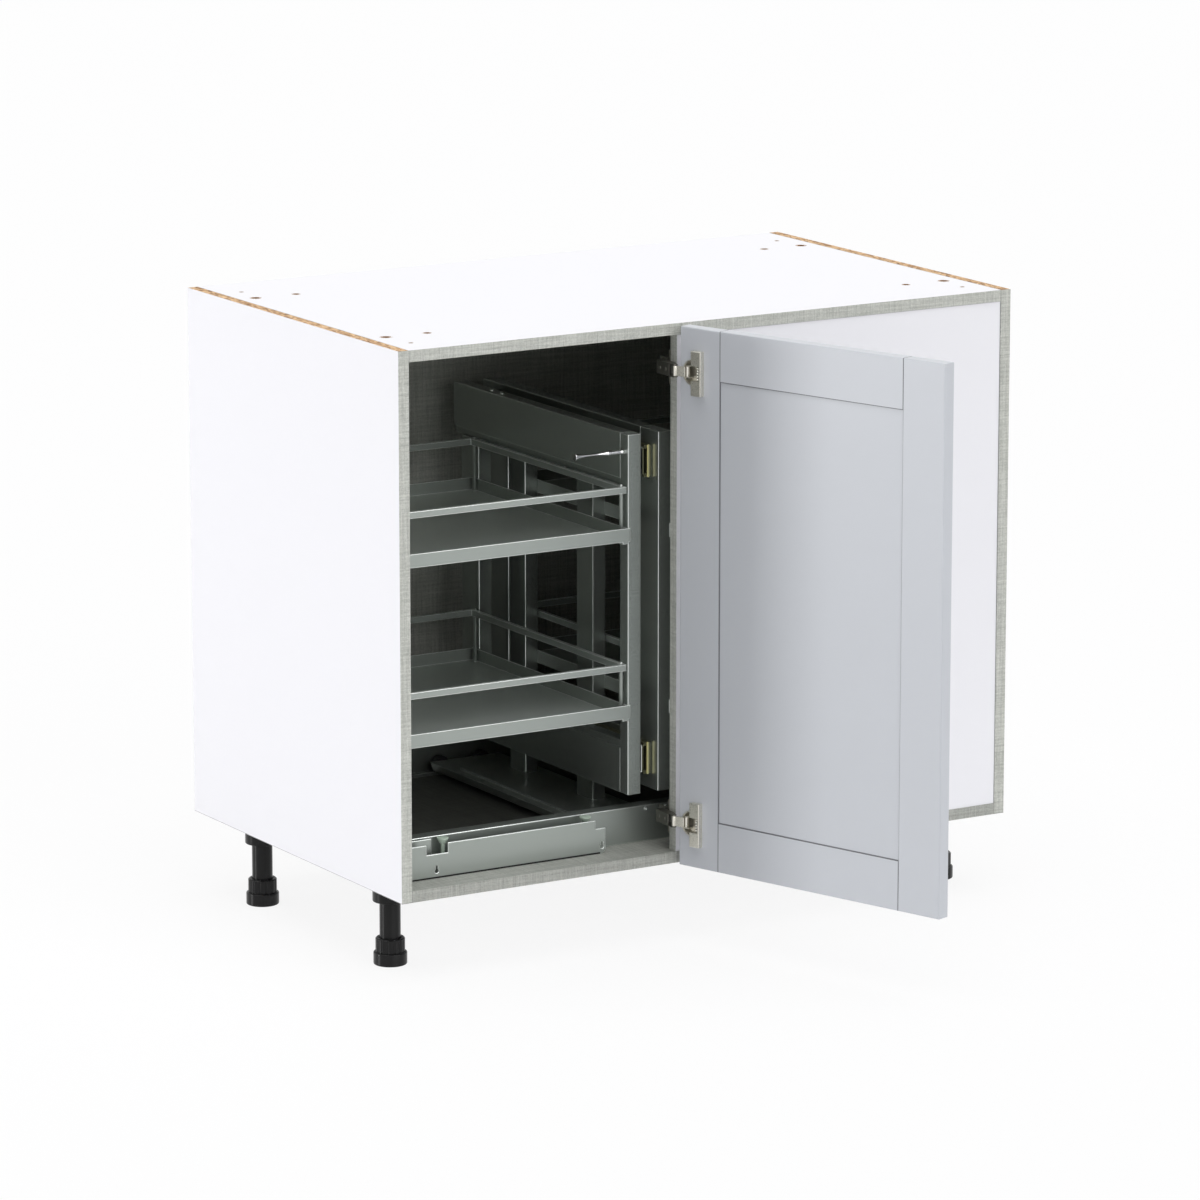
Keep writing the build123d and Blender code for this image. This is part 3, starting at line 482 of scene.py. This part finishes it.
def soften(name, width):
    """Small rounded edges on a node, which catch the light. Flat faces are made whole first."""
    weld = nodes[name].modifiers.new("weld", "WELD")
    weld.merge_threshold = 0.00001
    whole = nodes[name].modifiers.new("whole", "DECIMATE")
    whole.decimate_type = "DISSOLVE"
    whole.angle_limit = math.radians(0.5)
    edge = nodes[name].modifiers.new("edge", "BEVEL")
    edge.width = width
    edge.segments = 2
    edge.limit_method = "ANGLE"
    edge.angle_limit = math.radians(35)
    edge.material = len(nodes[name].data.materials) - 1


for name in ("door_stile_hinge_side", "door_stile_free_side", "door_rail_top", "door_rail_bottom",
             "door_panel"):
    dress(name, door_lacquer)
    soften(name, joint_edge)

# Concealed hinges: pressed steel, nickel plated and barrel polished, so they are warm and soft. The cup
# and link have rounded edges of a brighter nickel, partly the polish and partly a painted highlight. The
# arm and the plate take a much darker nickel, which is painted shade. Two screws hold each plate, two more
# adjust the arm, and a coil spring on its own pin closes the door from inside the housing on the cup.
nickel = (0.72, 0.7, 0.63, 1.0)
nickel_shade_tone = (0.15, 0.148, 0.128, 1.0)
polish_and_highlight_tone = (0.9, 0.88, 0.8, 1.0)
spring_bright = (0.86, 0.85, 0.8, 1.0)
sheen_spread = 0.06


def metal(name, colour, rough, metallic, speckle):
    """A plated or painted metal with fine unevenness in its sheen."""
    material, tree, shader = new_material(name, colour)
    cloud = noise(tree, object_place(tree), speckle, 3.0)
    sheen = add(tree, "ShaderNodeMapRange", {
        "Value": cloud, "From Min": 0.3, "From Max": 0.7,
        "To Min": rough * (1 - sheen_spread), "To Max": rough * (1 + sheen_spread)})
    tree.links.new(sheen.outputs[0], shader.inputs["Roughness"])
    shader.inputs["Metallic"].default_value = metallic
    return material


nickel_plate = metal("nickel_plate", nickel, 0.28, 0.85, 1200.0)
# The cup's and link's rounded edges take a brighter nickel: partly the polish, partly a painted highlight.
nickel_edge_highlight = metal("nickel_polished_edge_highlight", polish_and_highlight_tone, 0.15, 1.0, 1200.0)
# A much darker nickel for the arm and plate, which is painted shade.
nickel_in_painted_shade = metal("nickel_painted_shade", nickel_shade_tone, 0.4, 0.85, 1200.0)
spring_steel = metal("bright_spring_steel", spring_bright, 0.12, 1.0, 900.0)
for end in ("upper", "lower"):
    for piece in ("cup", "link", "arm", "plate"):
        name = "hinge_" + piece + "_" + end
        if piece in ("arm", "plate"):
            dress(name, nickel_in_painted_shade)
        else:
            dress(name, nickel_plate, nickel_edge_highlight)
        soften(name, 0.0005)


def open_tree(name, inputs):
    """A geometry tree that takes points and a list of named inputs."""
    tree = bpy.data.node_groups.new(name, "GeometryNodeTree")
    tree.interface.new_socket("Geometry", in_out="INPUT", socket_type="NodeSocketGeometry")
    tree.interface.new_socket("Geometry", in_out="OUTPUT", socket_type="NodeSocketGeometry")
    for title, kind in inputs:
        tree.interface.new_socket(title, in_out="INPUT", socket_type=kind)
    return tree, tree.nodes.new("NodeGroupInput").outputs


def times(tree, value, factor):
    """A socket's value times a number."""
    return add(tree, "ShaderNodeMath", {0: value, 1: factor}, operation="MULTIPLY").outputs[0]


def close_tree(tree, given, form):
    """Puts the form on every point, turned to the direction out of it, and gives it the material."""
    out = add(tree, "GeometryNodeInputNamedAttribute", {"Name": "out"}, data_type="FLOAT_VECTOR")
    facing = add(tree, "FunctionNodeAlignRotationToVector", {"Vector": out.outputs[0]}, axis="Z")
    spin = add(tree, "FunctionNodeRandomValue", {2: 0.0, 3: 3.1, "Seed": 7}, data_type="FLOAT")
    about = add(tree, "FunctionNodeAxisAngleToRotation", {"Axis": (0, 0, 1), "Angle": spin.outputs[1]})
    turned = add(tree, "FunctionNodeRotateRotation", {0: facing.outputs[0], 1: about.outputs[0]},
                 rotation_space="LOCAL")
    placed = add(tree, "GeometryNodeInstanceOnPoints", {"Points": given["Geometry"], "Instance": form,
                                                        "Rotation": turned.outputs[0]})
    real = add(tree, "GeometryNodeRealizeInstances", {0: placed.outputs[0]})
    done = add(tree, "GeometryNodeSetMaterial", {"Geometry": real.outputs[0],
                                                 "Material": given["Material"]})
    tree.links.new(done.outputs[0], tree.nodes.new("NodeGroupOutput").inputs[0])
    return tree


def screw_tree():
    """Screw heads with a sloped shoulder and a cross recess, in shares of the head's radius."""
    tree, given = open_tree("cross_screws", (("Radius", "NodeSocketFloat"), ("Height", "NodeSocketFloat"),
                                             ("Material", "NodeSocketMaterial")))
    top = times(tree, given["Radius"], 0.72)
    recess_length = times(tree, given["Radius"], 1.05)
    recess_width = times(tree, given["Radius"], 0.24)
    head = add(tree, "GeometryNodeMeshCone", {
        "Vertices": 28, "Radius Bottom": given["Radius"], "Radius Top": top, "Depth": given["Height"]})
    recess = add(tree, "GeometryNodeMeshBoolean", {"Mesh 1": head.outputs[0]}, operation="DIFFERENCE")
    lift = add(tree, "ShaderNodeCombineXYZ", {2: given["Height"]}).outputs[0]
    for long_axis in (0, 1):
        sides = {long_axis: recess_length, 1 - long_axis: recess_width, 2: given["Height"]}
        size = add(tree, "ShaderNodeCombineXYZ", sides)
        slot = add(tree, "GeometryNodeMeshCube", {"Size": size.outputs[0]})
        raised = add(tree, "GeometryNodeTransform", {"Geometry": slot.outputs[0], "Translation": lift})
        tree.links.new(raised.outputs[0], recess.inputs["Mesh 2"])
    return close_tree(tree, given, recess.outputs[0])


def spring_tree():
    """A closely wound coil of round wire about the direction out of its point."""
    tree, given = open_tree("coil_springs", (("Radius", "NodeSocketFloat"), ("Length", "NodeSocketFloat"),
                                             ("Turns", "NodeSocketFloat"), ("Wire", "NodeSocketFloat"),
                                             ("Material", "NodeSocketMaterial")))
    line = add(tree, "GeometryNodeCurveSpiral", {
        "Resolution": 20, "Rotations": given["Turns"], "Start Radius": given["Radius"],
        "End Radius": given["Radius"], "Height": given["Length"]})
    profile = add(tree, "GeometryNodeCurvePrimitiveCircle", {"Resolution": 10, "Radius": given["Wire"]})
    wire = add(tree, "GeometryNodeCurveToMesh", {
        "Curve": line.outputs[0], "Profile Curve": profile.outputs[0], "Fill Caps": True})
    drop = add(tree, "ShaderNodeCombineXYZ", {2: times(tree, given["Length"], -0.5)})
    centred = add(tree, "GeometryNodeTransform", {"Geometry": wire.outputs[0],
                                                  "Translation": drop.outputs[0]})
    return close_tree(tree, given, centred.outputs[0])


def rivet_tree():
    """Round domed heads, a rounded cylinder with a ball's cap."""
    tree, given = open_tree("domed_rivets", (("Radius", "NodeSocketFloat"), ("Height", "NodeSocketFloat"),
                                             ("Material", "NodeSocketMaterial")))
    ball = add(tree, "GeometryNodeMeshUVSphere", {"Segments": 24, "Rings": 12, "Radius": 1.0})
    size = add(tree, "ShaderNodeCombineXYZ", {0: given["Radius"], 1: given["Radius"], 2: given["Height"]})
    dome = add(tree, "GeometryNodeTransform", {"Geometry": ball.outputs[0], "Scale": size.outputs[0]})
    smooth = add(tree, "GeometryNodeSetShadeSmooth", {"Geometry": dome.outputs[0]})
    return close_tree(tree, given, smooth.outputs[0])


def pattern(name, tree, points, settings, body):
    """Runs a tree on points that each carry a direction, and keeps what it makes as one mesh."""
    base = bpy.data.meshes.new(name + "_points")
    base.from_pydata([at for at, out in points], [], [])
    outward = base.attributes.new("out", "FLOAT_VECTOR", "POINT")
    for number, (at, out) in enumerate(points):
        outward.data[number].vector = out
    maker = bpy.data.objects.new(name + "_maker", base)
    bpy.context.scene.collection.objects.link(maker)
    modifier = maker.modifiers.new("pattern", "NODES")
    modifier.node_group = tree
    for item in tree.interface.items_tree:
        if item.in_out == "INPUT" and item.name in settings:
            modifier[item.identifier] = settings[item.name]
    shape = maker.evaluated_get(bpy.context.evaluated_depsgraph_get())
    made = bpy.data.objects.new(name, bpy.data.meshes.new_from_object(shape))
    bpy.data.objects.remove(maker)
    bpy.context.scene.collection.objects.link(made)
    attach(made, body)


screws, springs, rivets = screw_tree(), spring_tree(), rivet_tree()
hinge_levels = (177.8, 812.8)
plate_middle, plate_face, plate_screw_step = 466.0, 20.0, 16.0
plate_screws = [(spot(plate_middle, plate_face, z + step), (0, 1, 0))
                for z in hinge_levels for step in (-plate_screw_step, plate_screw_step)]
pattern("hinge_plate_screws", screws, plate_screws,
        {"Radius": 0.0042, "Height": 0.0016, "Material": nickel_plate}, "carcass")
arm_face, arm_screw_ys = 423.8, (9.0, 24.0)
arm_screws = [(spot(arm_face, y, z), (-1, 0, 0)) for z in hinge_levels for y in arm_screw_ys]
pattern("hinge_arm_screws", screws, arm_screws,
        {"Radius": 0.0031, "Height": 0.0007, "Material": nickel_in_painted_shade}, "carcass")

# The spring's axis is given from the door's hinge edge and its inner face, with the door shut, and
# then swung about the cup's pin to where the open door holds it.
shut_pin, open_pin = Vector((445.8, -5.5)), Vector((439.623, -24.385))
shut_corner = Vector((456.8, -2.5))
spring_setback, spring_rise = 35.9, 5.4
from_pin = shut_corner + Vector((-spring_setback, spring_rise)) - shut_pin
spring_at = open_pin + Matrix.Rotation(door_opened, 2) @ from_pin
coils = [(spot(spring_at.x, spring_at.y, z), (0, 0, 1)) for z in hinge_levels]
pattern("hinge_springs", springs, coils,
        {"Radius": 0.0015, "Length": 0.0188, "Turns": 5.0, "Wire": 0.0008, "Material": spring_steel},
        "door")
pattern("hinge_spring_pins", springs, coils,
        {"Radius": 0.00002, "Length": 0.0206, "Turns": 1.0, "Wire": 0.0004, "Material": nickel_in_painted_shade},
        "door")

# Floor fitting: folded sheet steel with a grey green metallic powder coat, screwed to the floor of
# the cabinet. The rubber stops are pale green, and the rollers are plain nylon.
powder_grey = (0.34, 0.37, 0.345, 1.0)
stop_green = (0.55, 0.66, 0.55, 1.0)
nylon = (0.05, 0.05, 0.05, 1.0)
# A near-white painted highlight for the rounded edges of the coat.
edge_painted_highlight = (0.86, 0.9, 0.87, 1.0)
carriage_grey = (0.5, 0.54, 0.51, 1.0)
# A lighter grey for faces that look up: painted light.
up_face_painted_light = (0.66, 0.71, 0.67, 1.0)
cut_edge_radius = 0.0022
fold_radius = 0.0015


def painted_light_on_top(material, colour):
    """Faces that look up are painted lighter, as painted light from above."""
    tree = material.node_tree
    surface = tree.nodes["Principled BSDF"].inputs["Base Color"]
    flat = add(tree, "ShaderNodeNewGeometry")
    upward = add(tree, "ShaderNodeSeparateXYZ", {0: flat.outputs["Normal"]})
    facing_up = add(tree, "ShaderNodeMapRange", {"Value": upward.outputs[2], "From Min": 0.6,
                                               "From Max": 0.95})
    tree.links.new(blended(tree, facing_up.outputs[0], tuple(surface.default_value), colour), surface)


def rounded_edges_painted_highlight(material, radius, colour):
    """The shader rounds the edges, and paints them near white: a painted highlight."""
    tree = material.node_tree
    shader = tree.nodes["Principled BSDF"]
    surface = shader.inputs["Base Color"]
    rounded = add(tree, "ShaderNodeBevel", {"Radius": radius}, samples=8)
    flat = add(tree, "ShaderNodeNewGeometry")
    turn = add(tree, "ShaderNodeVectorMath", {0: rounded.outputs[0], 1: flat.outputs["Normal"]},
               operation="DOT_PRODUCT")
    edge_highlight_mask = add(tree, "ShaderNodeMapRange", {"Value": turn.outputs["Value"], "From Min": 0.998,
                                            "From Max": 0.95})
    plain = surface.links[0].from_socket if surface.links else tuple(surface.default_value)
    tree.links.new(blended(tree, edge_highlight_mask.outputs[0], plain, colour), surface)
    tree.links.new(rounded.outputs[0], shader.inputs["Normal"])


# The rail's rounded edges are painted near white, a painted highlight.
rail_coat = metal("metallic_powder_coat", powder_grey, 0.34, 0.65, 2200.0)
rounded_edges_painted_highlight(rail_coat, cut_edge_radius, edge_painted_highlight)
carriage_coat = metal("carriage_powder_coat", carriage_grey, 0.34, 0.65, 2200.0)
# Its upward faces are painted lighter, as painted light from above.
painted_light_on_top(carriage_coat, up_face_painted_light)
# Its rounded edges are painted near white, a painted highlight.
rounded_edges_painted_highlight(carriage_coat, fold_radius, edge_painted_highlight)
# A near-white coat, a painted highlight, for bevelled edges and for small screw and rivet heads.
edge_highlight_coat = metal("powder_coat_painted_edge_highlight", edge_painted_highlight, 0.2, 0.9, 2200.0)
dress("base_front_rail", rail_coat)
for name in ("base_track_front", "base_track_rear"):
    dress(name, rail_coat, edge_highlight_coat)
    soften(name, 0.0006)
dress("carriage_base", carriage_coat, edge_highlight_coat)
soften("carriage_base", 0.0006)

# A narrow black strip runs along the foot of the front rail, against the floor board: a painted shadow,
# standing in for the dark gap under the rail.
rail_low, rail_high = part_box("base_front_rail")
shadow_strip_height, shadow_strip_proud, shadow_strip_end = 0.0022, 0.0008, 0.009
shadow_strip_black = (0.012, 0.012, 0.012, 1.0)


def box_piece(name, low, high, edge):
    """A block between two corners with small rounded edges."""
    shape = bmesh.new()
    bmesh.ops.create_cube(shape, size=1.0)
    for vertex in shape.verts:
        for axis in range(3):
            vertex.co[axis] = low[axis] if vertex.co[axis] < 0 else high[axis]
    bmesh.ops.bevel(shape, geom=shape.edges, offset=edge, segments=2, affect="EDGES")
    mesh = bpy.data.meshes.new(name)
    shape.to_mesh(mesh)
    shape.free()
    made = bpy.data.objects.new(name, mesh)
    bpy.context.scene.collection.objects.link(made)
    return made


# The strip's black is a painted shadow; its fine cells are only a bump.
shadow_strip_finish, tree, shader = new_material("black_painted_shadow_strip", shadow_strip_black, 0.9)
cells = add(tree, "ShaderNodeTexVoronoi", {"Vector": object_place(tree), "Scale": 1800.0})
relief(tree, shader, cells.outputs["Distance"], 0.3)
strip = box_piece("rail_painted_shadow_strip", (rail_low[0], rail_low[1] - shadow_strip_proud, rail_low[2]),
                  (rail_high[0] - shadow_strip_end, rail_low[1], rail_low[2] + shadow_strip_height), 0.0002)
strip.data.materials.append(shadow_strip_finish)
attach(strip, "carcass")

# Two screws hold the front track, beside the rail's end.
track_face, track_screw_level, track_screw_xs = 73.0, 177.0, (432.0, 466.0)
track_screws = [(spot(x, track_face, track_screw_level), (0, -1, 0)) for x in track_screw_xs]
# Their heads take the near-white painted highlight coat.
pattern("track_screws", screws, track_screws,
        {"Radius": 0.0028, "Height": 0.0012, "Material": edge_highlight_coat}, "carcass")

# Stops and rollers are moulded, and only a little glossy.
dress("base_bumpers", new_material("green_stop_rubber", stop_green, 0.5)[0])
roller_nylon = new_material("roller_nylon", nylon, 0.5)[0]
for end in ("front", "rear"):
    for side in ("left", "right"):
        dress("carriage_roller_" + end + "_" + side, roller_nylon)

# Frames: welded rectangular tube with the same coat, drawn smooth, with a painted highlight in near white
# along the long edges.
frame_coat = metal("frame_powder_coat", powder_grey, 0.28, 0.7, 2200.0)
rounded_edges_painted_highlight(frame_coat, fold_radius, edge_painted_highlight)
for name in nodes:
    if name.startswith(("rear_frame", "front_frame")):
        dress(name, frame_coat, edge_highlight_coat)
        soften(name, 0.0013)

# Plugs of grey plastic are pressed into the open ends of the upright tubes.
plug_wall, plug_sunk, plug_thick = 0.0016, 0.0002, 0.002
plug_grey = (0.2, 0.22, 0.205, 1.0)
plug_plastic, tree, shader = new_material("grey_plug_plastic", plug_grey, 0.5)
relief(tree, shader, noise(tree, object_place(tree), 1500.0), 0.2)
for post, body in (("front_frame_front_post", "front_unit"), ("front_frame_rear_post", "front_unit"),
                   ("rear_frame_front_post", "carcass"), ("rear_frame_rear_post", "carcass")):
    low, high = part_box(post)
    inset = Vector((plug_wall, plug_wall, 0.0))
    for end, sunk_from in (("top", high[2] - plug_sunk - plug_thick), ("foot", low[2] + plug_sunk)):
        corner_low = Vector((low[0], low[1], sunk_from)) + inset
        corner_high = Vector((high[0], high[1], sunk_from + plug_thick)) - inset
        plug = box_piece(post + "_plug_" + end, corner_low, corner_high, 0.0003)
        plug.data.materials.append(plug_plastic)
        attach(plug, body)

# Two rivets show on top of the front frame's upper beam, near its rear end.
frame_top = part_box("front_frame_beam_upper")[1][2] * 1000.0
beam_middle, rivet_ys = 399.5, (413.0, 442.0)
beam_rivets = [(spot(beam_middle, y, frame_top), (0, 0, 1)) for y in rivet_ys]
# Their heads take the near-white painted highlight coat.
pattern("beam_rivets", rivets, beam_rivets,
        {"Radius": 0.0035, "Height": 0.0022, "Material": edge_highlight_coat}, "front_unit")

# Slides: rolled steel, yellow zinc plated, in a dark olive tone. They join the two frames.
olive_zinc = (0.25, 0.25, 0.16, 1.0)
dark_olive_zinc = metal("dark_yellow_zinc", olive_zinc, 0.4, 0.8, 1500.0)
for level in ("upper", "lower"):
    for member in ("outer", "middle", "inner"):
        dress("slide_" + member + "_" + level, dark_olive_zinc)
        soften("slide_" + member + "_" + level, 0.0003)

# Each inner member ends at the front in a stop, a short bar with round ends that is pressed on. Its zinc
# is a pale, bright yellow.
pale_zinc = (0.9, 0.84, 0.5, 1.0)
pale_bright_zinc = metal("pale_yellow_zinc", pale_zinc, 0.25, 1.0, 1500.0)
stop_half_width, stop_half_height, stop_depth = 0.0017, 0.0232, 0.0014
stop_edge = 0.0004
slide_middle_x = 433.5


def rounded_bar(name, centre):
    """A flat upright bar with half round ends and slightly softened edges."""
    shape = bmesh.new()
    ring = []
    for end, start in ((1, 0.0), (-1, math.pi)):
        for step in range(9):
            angle = start + math.pi * step / 8
            ring.append((stop_half_width * math.cos(angle),
                         end * (stop_half_height - stop_half_width) + stop_half_width * math.sin(angle)))
    back = [shape.verts.new((centre.x + x, centre.y, centre.z + z)) for x, z in ring]
    front = [shape.verts.new((centre.x + x, centre.y - stop_depth, centre.z + z)) for x, z in ring]
    shape.faces.new(front)
    shape.faces.new(list(reversed(back)))
    for at in range(len(ring)):
        after = (at + 1) % len(ring)
        shape.faces.new((front[at], back[at], back[after], front[after]))
    front_edges = [edge for edge in shape.edges if all(vertex.co.y < centre.y for vertex in edge.verts)]
    bmesh.ops.bevel(shape, geom=front_edges, offset=stop_edge, segments=2, affect="EDGES")
    bmesh.ops.recalc_face_normals(shape, faces=shape.faces)
    mesh = bpy.data.meshes.new(name)
    shape.to_mesh(mesh)
    shape.free()
    made = bpy.data.objects.new(name, mesh)
    bpy.context.scene.collection.objects.link(made)
    mesh.materials.append(pale_bright_zinc)
    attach(made, "front_unit")


for level in ("upper", "lower"):
    low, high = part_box("slide_inner_" + level)
    centre = Vector((spot(slide_middle_x, 0, 0).x, low[1], (low[2] + high[2]) / 2))
    rounded_bar("slide_stop_" + level, centre)

# Baskets: pressed trays with a folded lip, and a gallery of flat bar on four round rods.
lip_radius = 0.0018
basket_coat = metal("basket_powder_coat", powder_grey, 0.36, 0.5, 2200.0)
# Upward faces are painted lighter, as painted light from above.
painted_light_on_top(basket_coat, up_face_painted_light)
# The edges of lips and bars are painted near white, a painted highlight.
rounded_edges_painted_highlight(basket_coat, lip_radius, edge_painted_highlight)
for name in nodes:
    if "_tray_" in name or "_gallery_" in name:
        dress(name, basket_coat, edge_highlight_coat)
        soften(name, 0.0007)

# Pull handle: turned steel, polished and chrome plated, screwed into the front post.
chrome_white = (0.8, 0.8, 0.8, 1.0)
dress("pull_handle", metal("chrome", chrome_white, 0.08, 1.0, 200.0))

bpy.context.scene.view_settings.view_transform = "Standard"
